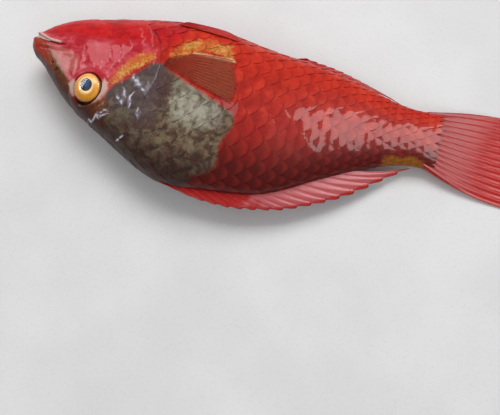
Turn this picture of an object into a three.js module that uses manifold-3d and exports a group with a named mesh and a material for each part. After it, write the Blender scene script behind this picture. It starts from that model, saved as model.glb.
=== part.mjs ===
// A female Mediterranean parrotfish as it comes out of the net, life size, lying on its left side.
// Fish space, in millimetres: s runs from the snout to the tail, d from the belly up to the back,
// measured from the line of the mouth, and w from the left flank to the right one.
// In the part's frame +X is s, +Y is minus d and +Z is w, so the right flank faces up.

import * as THREE from "three";
import { mergeVertices } from "three/addons/utils/BufferGeometryUtils.js";
import Module from "manifold-3d";

const wasm = await Module();
wasm.setup();

// Driving sizes of the fish.
const BODY_LENGTH = 256;
const TAIL_FIN_LENGTH = 60;
const GAP = 0.3;

// Outlines as [s, d] points: the back, the belly and the level where the body is widest.
const BACK_POINTS = [
  [0, 6.5], [8, 12], [26, 29.1], [47, 43.6], [74, 58.5], [100, 70],
  [137, 68.5], [165, 62], [187, 48.4], [219, 28.4], [240, 19], [258, 16.5],
];
const BELLY_POINTS = [
  [0, -2], [8, -10.5], [26, -21.3], [53, -27.9], [85, -34.4], [112, -35.6],
  [144, -30.6], [187, -27.8], [219, -22], [238, -19.4], [258, -21.5],
];
const WAIST_POINTS = [
  [0, 2], [26, 5], [47, 9], [74, 13], [105, 17], [144, 16], [187, 9], [219, 3], [258, -2.5],
];
// Half of the body's width at the waist, and how high the mid line lies above the floor.
const WIDTH_POINTS = [
  [0, 6.6], [10, 10.2], [26, 14.2], [47, 17.8], [70, 20.4], [95, 21.4],
  [118, 21], [144, 18.8], [187, 12.8], [219, 8.6], [240, 6.4], [258, 4.4],
];
const MID_LINE_POINTS = [
  [0, 20], [60, 20.2], [120, 20.2], [150, 19.4], [190, 15.6], [225, 10.8], [258, 6.6], [285, 2.6],
  [305, 0.7], [325, 0.4],
];
const SECTION_POWER = 2.15;
const NOSE_ROUNDING = 5;

// The head's features: the line of the mouth, the lower lip's edge, nostrils, eye and gill opening.
const MOUTH_POINTS = [[-6, -6], [0, -2.6], [5, 0.5], [12, 2.7], [20, 4], [27, 4.2], [34, 4.2]];
const MOUTH_LENGTH = 27;
const BEAK_LENGTH = 14;
const BEAK_HEIGHT = 2.5;
const LIP_RISE = 1.1;
const NOSTRILS = [[20.5, 16, 1], [24, 20.4, 1.4]];
const EYE_PLACE = [47.9, 29.7];
const EYE_RADIUS = 8.9;
const PUPIL_RADIUS = 3.7;
const EYE_BULGE = 3.1;
const GILL_POINTS = [
  [-40, 58], [-32, 62], [-23, 69], [-13, 78], [-3, 84.5], [8, 87.5], [20, 87], [35, 84], [45, 81.5],
  [52, 77], [60, 71], [80, 60],
];
const GILL_COVER_RISE = 1.3;

// The outer edges of the laid-back dorsal and anal fins, and the root of the tail fin.
const DORSAL_EDGE_POINTS = [
  [100, 71.2], [123, 74], [140, 74.7], [153, 73.6], [166, 70.5], [177, 67.2], [189, 61.4], [208, 50.1],
  [216, 44.3], [230, 31.9], [248, 16],
];
const ANAL_EDGE_POINTS = [[160, -31], [175, -34], [190, -33.4], [205, -30.4], [220, -26.6], [234, -22.6]];
const TAIL_ROOT = { level: -2.5, half: 18 };

// A pectoral fin's first and last ray, each as its root, the point that it bends towards and its tip.
const PECTORAL_RAYS = [
  [[89, 6.6], [111, 15.2], [134, 20.4]],
  [[90.6, 2], [102, -7.6], [128.5, -7.4]],
];

// Where the trunk ends and the tail stalk begins, and the large scales that cover both.
const STALK_START = 206;
const SCALE_RISE = 0.7;
const SCALE_STEP = 0.7;

// A natural cubic spline through [x, y] points, as a function of x.
function smooth(points) {
  const n = points.length;
  const x = points.map((p) => p[0]);
  const y = points.map((p) => p[1]);
  const bend = new Array(n).fill(0);
  const share = new Array(n).fill(0);
  const rest = new Array(n).fill(0);
  for (let i = 1; i < n - 1; i++) {
    const left = x[i] - x[i - 1];
    const right = x[i + 1] - x[i];
    const turn = 6 * ((y[i + 1] - y[i]) / right - (y[i] - y[i - 1]) / left);
    const whole = 2 * (left + right) - left * share[i - 1];
    share[i] = right / whole;
    rest[i] = (turn - left * rest[i - 1]) / whole;
  }
  for (let i = n - 2; i > 0; i--) bend[i] = rest[i] - share[i] * bend[i + 1];
  return (at) => {
    let i = 0;
    while (i < n - 2 && at > x[i + 1]) i++;
    const h = x[i + 1] - x[i];
    const a = (x[i + 1] - at) / h;
    const b = (at - x[i]) / h;
    if (a > 1) return y[0] + ((y[1] - y[0]) / h - (h * bend[1]) / 6) * (at - x[0]);
    if (b > 1) return y[n - 1] + ((y[n - 1] - y[n - 2]) / h + (h * bend[n - 2]) / 6) * (at - x[n - 1]);
    return a * y[i] + b * y[i + 1] + (((a ** 3 - a) * bend[i] + (b ** 3 - b) * bend[i + 1]) * h * h) / 6;
  };
}

const backAt = smooth(BACK_POINTS);
const bellyAt = smooth(BELLY_POINTS);
const waistAt = smooth(WAIST_POINTS);
const widthAt = smooth(WIDTH_POINTS);
const midLineAt = smooth(MID_LINE_POINTS);
const gillAt = smooth(GILL_POINTS);
const mouthAt = smooth(MOUTH_POINTS);
const dorsalEdgeAt = smooth(DORSAL_EDGE_POINTS);
const analEdgeAt = smooth(ANAL_EDGE_POINTS);

const clamp = (x, low = 0, high = 1) => Math.min(high, Math.max(low, x));
const ease = (x) => clamp(x) ** 2 * (3 - 2 * clamp(x));
const hump = (x) => ease(1 - Math.abs(x));
const power = (x, p) => Math.sign(x) * Math.abs(x) ** p;
const mix = (a, b, t) => a + (b - a) * t;

// The blunt rounding of the snout: 0 at the tip and 1 from NOSE_ROUNDING on.
const noseAt = (s) => Math.sqrt(1 - (1 - clamp(s / NOSE_ROUNDING)) ** 2);

// The section at s: the back, the belly, the waist and the half width.
function sectionAt(s) {
  const nose = noseAt(s);
  const waist = waistAt(s);
  return {
    waist,
    back: waist + (backAt(s) - waist) * nose,
    belly: waist + (bellyAt(s) - waist) * nose,
    width: widthAt(s) * nose,
  };
}

// How far the flank stands out from the mid plane at (s, d).
function flankAt(s, d) {
  const { back, belly, waist, width } = sectionAt(s);
  const share = d > waist ? (d - waist) / (back - waist) : (waist - d) / (waist - belly);
  return width * (1 - clamp(share) ** SECTION_POWER) ** (1 / SECTION_POWER);
}

// The smooth point of the skin at s and at the angle turned from the back over the right flank.
function skinPoint(s, angle) {
  const { back, belly, waist, width } = sectionAt(s);
  const up = power(Math.cos(angle), 2 / SECTION_POWER);
  const out = power(Math.sin(angle), 2 / SECTION_POWER);
  return new THREE.Vector3(s, waist + up * (up > 0 ? back - waist : waist - belly), width * out);
}

function skinNormal(s, angle) {
  const small = 0.02;
  const along = skinPoint(s + 0.2, angle).sub(skinPoint(Math.max(0.01, s - 0.2), angle));
  const round = skinPoint(s, angle + small).sub(skinPoint(s, angle - small));
  return along.cross(round).normalize().negate();
}

// From fish space to the part's frame, before the group is set on its origin.
const place = (p) => new THREE.Vector3(p.x, -p.y, p.z + midLineAt(p.x));

// Solids: a closed geometry becomes a manifold, and back.
function solidOf(geometry) {
  geometry.deleteAttribute("normal");
  geometry.deleteAttribute("uv");
  const merged = mergeVertices(geometry, 1e-4);
  const made = new wasm.Manifold(
    new wasm.Mesh({
      numProp: 3,
      vertProperties: new Float32Array(merged.attributes.position.array),
      triVerts: new Uint32Array(merged.index.array),
    }),
  );
  return made;
}

function geometryOf(solid) {
  const tidy = solid.simplify(0.004);
  const whole = tidy.decompose().sort((a, b) => b.volume() - a.volume())[0];
  const mesh = whole.getMesh();
  const points = new Float32Array(mesh.numVert * 3);
  for (let i = 0; i < mesh.numVert; i++) {
    points.set(mesh.vertProperties.subarray(i * mesh.numProp, i * mesh.numProp + 3), i * 3);
  }
  const geometry = new THREE.BufferGeometry();
  geometry.setAttribute("position", new THREE.BufferAttribute(points, 3));
  geometry.setIndex(new THREE.BufferAttribute(new Uint32Array(mesh.triVerts), 1));
  geometry.computeVertexNormals();
  return geometry;
}

// A closed tube through rings of points, with a fan over each end.
function solidThrough(rings) {
  const count = rings[0].length;
  const points = rings.flat();
  const faces = [];
  for (let r = 0; r + 1 < rings.length; r++) {
    for (let j = 0; j < count; j++) {
      const k = (j + 1) % count;
      const a = r * count + j;
      const b = r * count + k;
      faces.push([a, a + count, b], [b, a + count, b + count]);
    }
  }
  [0, rings.length - 1].forEach((r) => {
    const centre = rings[r].reduce((sum, p) => sum.add(p), new THREE.Vector3()).divideScalar(count);
    points.push(centre);
    for (let j = 0; j < count; j++) {
      const edge = [r * count + j, r * count + ((j + 1) % count)];
      faces.push(r === 0 ? [points.length - 1, edge[0], edge[1]] : [points.length - 1, edge[1], edge[0]]);
    }
  });
  return closedSolid(points, faces);
}

// A solid from points in fish space and triangles, turned the right way out.
function closedSolid(points, faces) {
  const placed = points.map(place);
  const geometry = new THREE.BufferGeometry().setFromPoints(placed);
  geometry.setIndex(faces.flat());
  const made = solidOf(geometry);
  if (made.volume() > 0) return made;
  geometry.setIndex(faces.flatMap(([a, b, c]) => [a, c, b]));
  return solidOf(geometry);
}

// A prism through the whole width of the fish, from a closed outline of [s, d] points.
function prism(outline) {
  const depth = 60;
  const shape = new THREE.Shape(outline.map(([s, d]) => new THREE.Vector2(s, -d)));
  const geometry = new THREE.ExtrudeGeometry(shape, { depth: 2 * depth, bevelEnabled: false });
  return solidOf(geometry.translate(0, 0, -depth + 20));
}

// Everything in front of a line across the fish, given as s for each d.
function frontOf(lineAt, shift) {
  const steps = 48;
  const low = -60;
  const high = 90;
  const outline = [[-40, high], [-40, low]];
  for (let i = 0; i <= steps; i++) {
    const d = mix(low, high, i / steps);
    outline.push([lineAt(clamp(d, GILL_POINTS[0][0], GILL_POINTS.at(-1)[0])) + shift, d]);
  }
  return prism(outline);
}

// The lift of the head's skin off the smooth body: lips, jaw folds, the rim of the eye and the gill cover.
function headLift(s, d) {
  const above = d - mouthAt(s);
  const fromLip = above > 0 ? above - 2.2 : above + 2 + (BEAK_HEIGHT - 1) * clamp(1 - s / BEAK_LENGTH);
  const lips = LIP_RISE * hump(fromLip / 3.2) * ease((MOUTH_LENGTH + 5 - s) / 10) * ease(s / 3);
  const upperFold = -0.7 * hump((Math.hypot(s + 6, above + 1) - 18) / 1.8) * ease((MOUTH_LENGTH - s) / 6);
  const fromEye = Math.hypot(s - EYE_PLACE[0], d - EYE_PLACE[1]);
  const rim = 0.9 * hump((fromEye - EYE_RADIUS - 1.6) / 2.4);
  const behind = gillAt(clamp(d, -40, 80)) - s;
  const sides = ease((44 - d) / 16);
  const cover = GILL_COVER_RISE * ease((30 - behind) / 24) * sides;
  const cheekFold = -0.8 * hump((behind - 31) / 2.2) * sides * ease((d + 30) / 8);
  return lips + upperFold + rim + cover + cheekFold;
}

function skinRing(s, count, lift) {
  const ring = [];
  for (let j = 0; j < count; j++) {
    const angle = (j / count) * 2 * Math.PI;
    const point = skinPoint(s, angle);
    ring.push(point.addScaledVector(skinNormal(s, angle), lift(point.x, point.y)));
  }
  return ring;
}

// The head, smooth and whole from the snout's tip to behind the gill opening.
function headBlank(extra = 0) {
  const around = 40;
  const noseSteps = 4;
  const rings = [];
  for (let i = 0; i < noseSteps; i++) {
    rings.push(NOSE_ROUNDING * (1 - Math.cos(((i + 0.35) / noseSteps) * (Math.PI / 2))));
  }
  let s = NOSE_ROUNDING;
  while (s < 96) {
    rings.push(s);
    s += s < 58 ? 2.6 : 3.8;
  }
  return solidThrough(rings.map((at) => skinRing(at, around, (a, b) => headLift(a, b) + extra)));
}

// A stretch of the body under large scales that overlap like roof tiles: each column of scales has a
// scalloped hind edge that stands up, and the next column starts under it. Columns are staggered.
// The flank that lies on the floor has its scales drawn with fewer points.
function scaledBlank({ from, to, rows, column }) {
  const places = [];
  for (let j = 0; j < rows * 4; j++) {
    if (j <= rows * 2 || j % 2 === 0) places.push(j / 4);
  }
  const rings = [];
  const ring = (base, parity, offset, height) => {
    const points = places.map((row) => {
      const angle = (row / rows) * 2 * Math.PI;
      const part = (row + parity / 2) % 1;
      const bow = (1 - (2 * part - 1) ** 2) * column * 0.48;
      const s = base + bow + offset;
      const lift = height * SCALE_RISE * ease(Math.abs(Math.sin(angle)) * 3);
      return skinPoint(s, angle).addScaledVector(skinNormal(s, angle), lift);
    });
    rings.push(points);
  };
  let base = from;
  for (let k = 0; base + column < to; k++) {
    if (k === 0) ring(base, k % 2, -1, 0);
    ring(base, k % 2, 0, 1);
    ring(base, k % 2, SCALE_STEP, 0);
    base += column;
  }
  return solidThrough(rings);
}

// The body without scales, a little larger all round, which shapes the roots of the fins.
function plainBlank(extra) {
  const rings = [];
  for (let s = 60; s <= BODY_LENGTH + 6; s += 6) rings.push(skinRing(s, 48, () => extra));
  return solidThrough(rings);
}

const TRUNK = { from: 52, to: STALK_START + 14, rows: 20, column: 8.7 };
const STALK = { from: STALK_START - 13, to: BODY_LENGTH + 14, rows: 12, column: 7.4 };

// Everything below the floor, which trims the pieces that rest on it.
const floorBlock = prism([[-60, 120], [400, 120], [400, -120], [-60, -120]]).translate(0, 0, -80);

// Everything behind a plane across the fish.
const behindPlane = (s) => prism([[s, 120], [400, 120], [400, -120], [s, -120]]);

// A fin: a thin sheet whose rays are ridges raised on both faces. Each ray is a function of the share t of
// its length that gives a point, with the direction across the sheet there. Between two rays the margin is
// drawn in a little, and both faces are split into the same triangles.
function finSheet({ rays, across, rayThick, webThick, steps, notch = 0.05 }) {
  const columns = [];
  rays.forEach((ray, i) => {
    columns.push({ at: ray, thick: rayThick });
    if (i + 1 < rays.length) {
      const next = rays[i + 1];
      columns.push({ at: (t) => ray(t * (1 - notch)).lerp(next(t * (1 - notch)), 0.5), thick: webThick });
    }
  });
  const points = [];
  const faces = [];
  const width = columns.length;
  [1, -1].forEach((side) => {
    for (let i = 0; i <= steps; i++) {
      const t = i / steps;
      columns.forEach(({ at, thick }, c) => {
        const edge = c === 0 || c === width - 1 ? 0.6 : 1;
        const half = 0.5 * thick(t) * edge;
        points.push(at(t).addScaledVector(across(t, c / (width - 1)), side * half));
      });
    }
  });
  const layer = (steps + 1) * width;
  const square = (a, b, c, d) => faces.push([a, b, c], [a, c, d]);
  for (let i = 0; i < steps; i++) {
    for (let c = 0; c + 1 < width; c++) {
      const a = i * width + c;
      const corners = [a, a + 1, a + width + 1, a + width];
      square(...corners);
      const [p, q, r, s] = corners.map((k) => k + layer);
      faces.push([p, r, q], [p, s, r]);
    }
  }
  const rim = [];
  for (let c = 0; c < width; c++) rim.push(c);
  for (let i = 1; i <= steps; i++) rim.push(i * width + width - 1);
  for (let c = width - 2; c >= 0; c--) rim.push(steps * width + c);
  for (let i = steps - 1; i > 0; i--) rim.push(i * width);
  rim.forEach((a, k) => {
    const b = rim[(k + 1) % rim.length];
    square(b, a, a + layer, b + layer);
  });
  return closedSolid(points, faces);
}

const taperTo = (root, tip) => (t) => mix(root, tip, ease(t));
const UP = new THREE.Vector3(0, 0, 1);

// A fin of the mid line, laid back along the body: its rays run from the body's outline to the fin's edge.
function midLineFin({ outline, edge, side, from, to, tipFrom, tipTo, count, droop, bow = 0.05 }) {
  const rays = [];
  for (let i = 0; i < count; i++) {
    const share = i / (count - 1);
    const s = mix(from, to, share);
    const tipS = mix(tipFrom, tipTo, share);
    const root = new THREE.Vector2(s, outline(s));
    const tip = new THREE.Vector2(tipS, edge(tipS));
    const run = tip.clone().sub(root);
    const start = root.clone().addScaledVector(run, -2.5 / run.length());
    start.y -= side * 1.2;
    rays.push((t) => {
      const at = start.clone().lerp(tip, t);
      const rise = side * bow * run.length() * Math.sin(Math.PI * t);
      return new THREE.Vector3(at.x, at.y + rise, -droop * t * t * ease(share * 6));
    });
  }
  return rays;
}

const DORSAL = {
  outline: backAt, edge: dorsalEdgeAt, side: 1, from: 97, to: 211, tipFrom: 107, tipTo: 247,
  count: 19, droop: 5,
};
const ANAL = {
  outline: bellyAt, edge: analEdgeAt, side: -1, from: 158, to: 209, tipFrom: 168, tipTo: 234,
  count: 12, droop: 4,
};

const midLineSheet = (fin) => finSheet({
  rays: midLineFin(fin), across: () => UP.clone(), rayThick: taperTo(2, 1), webThick: taperTo(1.1, 0.6),
  steps: 4, notch: 0.07,
});

// The tail fin spreads from the end of the tail stalk.
function tailFinRays() {
  const count = 14;
  const rays = [];
  for (let i = 0; i < count; i++) {
    const v = (i / (count - 1)) * 2 - 1;
    const root = new THREE.Vector2(BODY_LENGTH - 6, TAIL_ROOT.level + v * TAIL_ROOT.half);
    const lean = THREE.MathUtils.degToRad(19) * v;
    const length = TAIL_FIN_LENGTH * (1 + 0.1 * v * v) + 6;
    rays.push((t) => {
      const turn = lean * (0.7 + 0.3 * Math.cos(t * 2.2));
      return new THREE.Vector3(root.x + Math.cos(turn) * length * t, root.y + Math.sin(turn) * length * t, 0);
    });
  }
  return rays;
}

const tailSheet = () => finSheet({
  rays: tailFinRays(), across: () => UP.clone(), rayThick: (t) => 1.1 + 6.5 * (1 - t) ** 5 + 1.2 * (1 - t),
  webThick: (t) => 0.6 + 5.6 * (1 - t) ** 5 + 0.8 * (1 - t), steps: 6,
  notch: 0.03,
});

// A pectoral fin folded back along the flank, over the flank's own curve.
function pectoralRays(side, offset) {
  const count = 12;
  const rays = [];
  const [first, last] = PECTORAL_RAYS;
  for (let i = 0; i < count; i++) {
    const v = i / (count - 1);
    const between = ([s, d], k) => new THREE.Vector2(mix(s, last[k][0], v), mix(d, last[k][1], v));
    const [root, bend, tip] = first.map(between);
    tip.x += 3 * hump((v - 0.4) / 0.6);
    rays.push((t) => {
      const at = root.clone().multiplyScalar((1 - t) ** 2);
      at.addScaledVector(bend, 2 * t * (1 - t)).addScaledVector(tip, t * t);
      return new THREE.Vector3(at.x, at.y, side * (flankAt(at.x, at.y) + offset(t)));
    });
  }
  return rays;
}

// The right one lies free on the flank that faces up. The left one is pressed flat on the floor.
function pectoralSheet(side, grow = 0) {
  const rise = SCALE_RISE + 0.5;
  const rays = pectoralRays(side, (t) => rise + (side > 0 ? 1.5 * t * t : 0));
  const onFloor = rays.map((ray) => (t) => {
    const p = ray(t);
    p.z = Math.max(p.z, 0.8 - midLineAt(p.x));
    return p;
  });
  return finSheet({
    rays: side > 0 ? rays : onFloor, across: () => UP.clone(),
    rayThick: (t) => mix(1.9, 1.2, t) + 2 * grow, webThick: (t) => mix(1.3, 0.7, t) + 2 * grow, steps: 5,
  });
}

// A pelvic fin folded back along the belly.
function pelvicSheet(side, grow = 0) {
  const count = 6;
  const rays = [];
  for (let i = 0; i < count; i++) {
    const v = i / (count - 1);
    const length = mix(42, 26, v);
    const lean = THREE.MathUtils.degToRad(mix(3.5, -1, v));
    const root = new THREE.Vector2(mix(88, 93, v), mix(-27, -32.5, v));
    rays.push((t) => {
      const s = root.x + Math.cos(lean) * length * t;
      const d = root.y + Math.sin(lean) * length * t;
      const inside = bellyAt(s) + 1.5;
      const out = Math.max(3.5, flankAt(s, Math.max(d, inside)) + 0.6) + 0.8;
      return new THREE.Vector3(s, d, side * out);
    });
  }
  return finSheet({
    rays, across: () => new THREE.Vector3(0, -0.5, side * 0.87),
    rayThick: (t) => mix(2, 1.1, t) + 2 * grow, webThick: (t) => mix(1.3, 0.7, t) + 2 * grow, steps: 4,
  });
}

// An eye: a flattened ball whose outer face is stepped at the edge of the pupil.
function eyeSolid(side, grow = 0) {
  const profile = [new THREE.Vector2(0, -6 - grow)];
  const steps = 8;
  const radius = EYE_RADIUS + grow;
  for (let i = 1; i < steps; i++) {
    const turn = -Math.PI / 2 + (i / steps) * Math.PI;
    const high = turn > 0 ? EYE_BULGE : 6;
    profile.push(new THREE.Vector2(radius * Math.cos(turn), (high + grow) * Math.sin(turn)));
  }
  if (grow === 0) {
    profile.splice(-1, 1);
    profile.push(new THREE.Vector2(PUPIL_RADIUS + 0.5, EYE_BULGE * 0.86));
    profile.push(new THREE.Vector2(PUPIL_RADIUS, EYE_BULGE * 0.98));
  }
  profile.push(new THREE.Vector2(0, EYE_BULGE * 1.12 + grow));
  const geometry = new THREE.LatheGeometry(profile, 18);
  const [s, d] = EYE_PLACE;
  const out = flankAt(s, d) + 0.2;
  const small = 1;
  const slopeS = (flankAt(s + small, d) - flankAt(s - small, d)) / (2 * small);
  const slopeD = (flankAt(s, d + small) - flankAt(s, d - small)) / (2 * small);
  const facing = new THREE.Vector3(-slopeS, slopeD, side).normalize();
  geometry.applyQuaternion(new THREE.Quaternion().setFromUnitVectors(new THREE.Vector3(0, 1, 0), facing));
  geometry.translate(s, -d, side * out + midLineAt(s));
  return solidOf(geometry);
}

// A strip of the side view between two lines, each given as d for each s.
function strip(from, to, steps, lowAt, highAt) {
  const low = [];
  const high = [];
  for (let i = 0; i <= steps; i++) {
    const s = mix(from, to, i / steps);
    low.push([s, lowAt(s)]);
    if (highAt(s) - lowAt(s) > 0.01) high.unshift([s, highAt(s)]);
  }
  return prism([...low, ...high]);
}

// The mouth: a slit that opens to the front, where the lower lip leaves the edge of the beak bare.
const bareAt = (s) => BEAK_HEIGHT * clamp(1 - s / BEAK_LENGTH) ** 0.7;
const slitAt = (s) => 0.45 * ease((MOUTH_LENGTH - s) / 5);
const mouthLow = (s) => mouthAt(s) - slitAt(s) - bareAt(s);
const mouthCut = () => strip(-6, MOUTH_LENGTH, 11, mouthLow, (s) => mouthAt(s) + slitAt(s));

// The muzzle's smooth skin, drawn in towards a point inside it.
function muzzle(inset) {
  const centre = new THREE.Vector3(18, waistAt(18), 0);
  const rings = [];
  for (let i = 0; i < 5; i++) rings.push(NOSE_ROUNDING * (1 - Math.cos(((i + 0.35) / 5) * (Math.PI / 2))));
  for (let s = NOSE_ROUNDING; s < 18; s += 2.5) rings.push(s);
  return solidThrough(rings.map((s) => skinRing(s, 28, () => 0).map((p) => {
    const inward = centre.clone().sub(p);
    return p.add(inward.setLength(inset));
  })));
}

// The lower plate of the beak: a band of fused teeth that follows the muzzle just inside the lip.
function beakSolid(grow = 0) {
  const band = muzzle(0.9 - grow).subtract(muzzle(3 + grow));
  const low = (s) => mouthLow(s) - 1.2 - grow;
  const high = (s) => mouthAt(s) - 0.5 + grow;
  return band.intersect(strip(-6, BEAK_LENGTH + grow, 5, low, high));
}

function nostril(s, d, radius, side) {
  const ball = new THREE.SphereGeometry(radius, 10, 8);
  ball.translate(s, -d, side * (flankAt(s, d) + 0.3) + midLineAt(s));
  return solidOf(ball);
}

// Colours of the pieces.
const finish = (color, roughness = 0.35) => new THREE.MeshStandardMaterial({ color, roughness });
const redSkin = finish(0xb3281f);
const faceSkin = finish(0xb5483f);
const redFin = finish(0xc0362f);
const paleFin = finish(0xb96a4a);
const ivory = finish(0xe6c9bd, 0.3);
const amber = finish(0xc98a2c, 0.15);

const fish = new THREE.Group();
function add(name, solid, material) {
  const mesh = new THREE.Mesh(geometryOf(solid), material);
  mesh.name = name;
  fish.add(mesh);
}

const sides = { right: 1, left: -1 };

// The head: mouth, nostrils and sockets are cut out of it.
let head = headBlank().intersect(frontOf(gillAt, 0)).subtract(mouthCut()).subtract(beakSolid(GAP));
Object.values(sides).forEach((side) => {
  head = head.subtract(eyeSolid(side, GAP));
  NOSTRILS.forEach(([s, d, radius]) => {
    head = head.subtract(nostril(s, d, radius, side));
  });
});

// The body behind it. Each pectoral fin lies in a bed of its own shape.
const trunk = scaledBlank(TRUNK)
  .subtract(frontOf(gillAt, 0.42))
  .subtract(behindPlane(STALK_START))
  .subtract(pectoralSheet(1, GAP))
  .subtract(pectoralSheet(-1, GAP))
  .subtract(pelvicSheet(1, GAP))
  .subtract(pelvicSheet(-1, GAP));
const stalk = scaledBlank(STALK)
  .intersect(behindPlane(STALK_START + GAP))
  .subtract(behindPlane(BODY_LENGTH));
const tailFin = tailSheet().intersect(behindPlane(BODY_LENGTH + GAP));
const grown = plainBlank(GAP);

const nodes = [
  ["head", head, faceSkin],
  ["trunk", trunk, redSkin],
  ["tail_stalk", stalk, redSkin],
  ["beak_lower", beakSolid(), ivory],
  ["dorsal_fin", midLineSheet(DORSAL).subtract(grown), redFin],
  ["anal_fin", midLineSheet(ANAL).subtract(grown), redFin],
  ["tail_fin", tailFin, redFin],
  ["pectoral_fin_right", pectoralSheet(1), paleFin],
  ["pectoral_fin_left", pectoralSheet(-1), paleFin],
  ["pelvic_fin_right", pelvicSheet(1), redFin],
  ["pelvic_fin_left", pelvicSheet(-1), redFin],
  ["eye_right", eyeSolid(1), amber],
  ["eye_left", eyeSolid(-1), amber],
];
nodes.forEach(([name, solid, material]) => add(name, solid.subtract(floorBlock), material));

// The origin is the middle of the fish's box, on the floor.
const box = new THREE.Box3().setFromObject(fish);
fish.position.set(-(box.min.x + box.max.x) / 2, -(box.min.y + box.max.y) / 2, -box.min.z);

export default fish;
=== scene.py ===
"""A female Mediterranean parrotfish, wet from the sea, lying on its left side on a pale floor."""

import math

import bpy
import numpy as np
from mathutils import Matrix, Vector


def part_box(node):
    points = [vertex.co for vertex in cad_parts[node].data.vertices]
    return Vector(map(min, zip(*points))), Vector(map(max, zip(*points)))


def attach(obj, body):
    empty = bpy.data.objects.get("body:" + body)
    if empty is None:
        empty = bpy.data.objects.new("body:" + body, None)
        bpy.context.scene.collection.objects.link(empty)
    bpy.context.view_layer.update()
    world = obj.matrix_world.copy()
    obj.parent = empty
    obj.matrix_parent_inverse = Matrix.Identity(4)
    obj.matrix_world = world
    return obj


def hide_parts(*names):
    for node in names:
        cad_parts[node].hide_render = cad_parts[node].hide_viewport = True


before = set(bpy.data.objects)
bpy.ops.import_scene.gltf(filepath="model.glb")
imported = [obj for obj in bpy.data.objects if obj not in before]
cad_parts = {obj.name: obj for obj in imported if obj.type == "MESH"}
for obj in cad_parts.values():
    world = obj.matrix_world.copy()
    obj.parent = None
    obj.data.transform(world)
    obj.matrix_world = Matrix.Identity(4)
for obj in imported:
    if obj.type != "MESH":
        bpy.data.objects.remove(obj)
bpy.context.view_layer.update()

# Sizes of the fish in millimetres, as in its solids: s runs from the snout to the tail, d from the
# belly up to the back, and w from the left flank to the right one, which faces up.
BACK_POINTS = [
    (0, 6.5), (8, 12), (26, 29.1), (47, 43.6), (74, 58.5), (100, 70),
    (137, 68.5), (165, 62), (187, 48.4), (219, 28.4), (240, 19), (258, 16.5),
]
BELLY_POINTS = [
    (0, -2), (8, -10.5), (26, -21.3), (53, -27.9), (85, -34.4), (112, -35.6),
    (144, -30.6), (187, -27.8), (219, -22), (238, -19.4), (258, -21.5),
]
WAIST_POINTS = [(0, 2), (26, 5), (47, 9), (74, 13), (105, 17), (144, 16), (187, 9), (219, 3), (258, -2.5)]
WIDTH_POINTS = [
    (0, 6.6), (10, 10.2), (26, 14.2), (47, 17.8), (70, 20.4), (95, 21.4),
    (118, 21), (144, 18.8), (187, 12.8), (219, 8.6), (240, 6.4), (258, 4.4),
]
MID_LINE_POINTS = [
    (0, 20), (60, 20.2), (120, 20.2), (150, 19.4), (190, 15.6), (225, 10.8), (258, 6.6), (285, 2.6),
    (305, 0.7), (325, 0.4),
]
SECTION_POWER = 2.15
NOSE_ROUNDING = 5
BODY_LENGTH = 256
STALK_START = 206
GAP = 0.3

MOUTH_POINTS = [(-6, -6), (0, -2.6), (5, 0.5), (12, 2.7), (20, 4), (27, 4.2), (34, 4.2)]
MOUTH_LENGTH = 27
BEAK_LENGTH = 14
BEAK_HEIGHT = 2.5
BEAK_THICKNESS = 2.6
BEAK_INSET = 0.3
LIP_RISE = 1.1
NOSTRILS = [(20.5, 16, 1), (24, 20.4, 1.4)]
EYE_PLACE = (47.9, 29.7)
EYE_RADIUS = 8.9
PUPIL_RADIUS = 3.7
EYE_BULGE = 3.1
EYE_DEPTH = 5.2
PUPIL_SHIFT = 1.3
GILL_POINTS = [
    (-40, 58), (-32, 62), (-23, 69), (-13, 78), (-3, 84.5), (8, 87.5), (20, 87), (35, 84), (45, 81.5),
    (52, 77), (60, 71), (80, 60),
]
GILL_COVER_RISE = 1.3
SCALE_RISE = 0.7
DORSAL_EDGE_POINTS = [
    (100, 71.2), (123, 74), (140, 74.7), (153, 73.6), (166, 70.5), (177, 67.2), (189, 61.4), (208, 50.1),
    (216, 44.3), (230, 31.9), (248, 16),
]
ANAL_EDGE_POINTS = [(160, -31), (175, -34), (190, -33.4), (205, -30.4), (220, -26.6), (234, -22.6)]
DORSAL_ROOTS = (97, 211)
DORSAL_TIPS = (107, 247)
DORSAL_DROOP = 5
ANAL_ROOTS = (158, 209)
ANAL_TIPS = (168, 234)
ANAL_DROOP = 4
FIN_THICKNESS = {"ray": (1.5, 0.7), "web": (0.9, 0.35)}
TAIL_LENGTH = 60
TAIL_OVERLAP = 6
TAIL_SPREAD = 19
TAIL_ROOT_LEVEL = -2.5
TAIL_ROOT_HALF = 18
PECTORAL_RAYS = [((89, 6.6), (111, 15.2), (134, 20.4)), ((90.6, 2), (102, -7.6), (128.5, -7.4))]
PELVIC_ROOTS = [(88, -27), (93, -32.5)]
PELVIC_LENGTHS = (42, 26)
PELVIC_LEANS = (3.5, -1)

# How many rays each fin has, and how many steps the skin takes from one ray to the next.
DORSAL_COUNT = 19
ANAL_COUNT = 12
TAIL_RAYS = 14
PECTORAL_COUNT = 12
PELVIC_COUNT = 6
BETWEEN_RAYS = 12

# The scales: how many go round the body, how fine each is, and how many pieces they are shared out in.
# The steps from column to column shorten towards the tail. A scale is longer than its step and broader
# than its share of the row, so that it overlaps its neighbours.
SCALE_ROWS = 22
SCALE_GRID = 15
COAT_PIECES = 4
SCALE_THICKNESS = 0.3
FIRST_SCALE = 52.0
SCALE_STEPS = (7.2, 5.0)
SCALE_LENGTH = 1.9
SCALE_BREADTH = 1.16
SKIN_AROUND = 520

# The floor, in metres: half its width, and how far it lies below the fish.
FLOOR_HALF = 1.6
FLOOR_DROP = 0.0004

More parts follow.
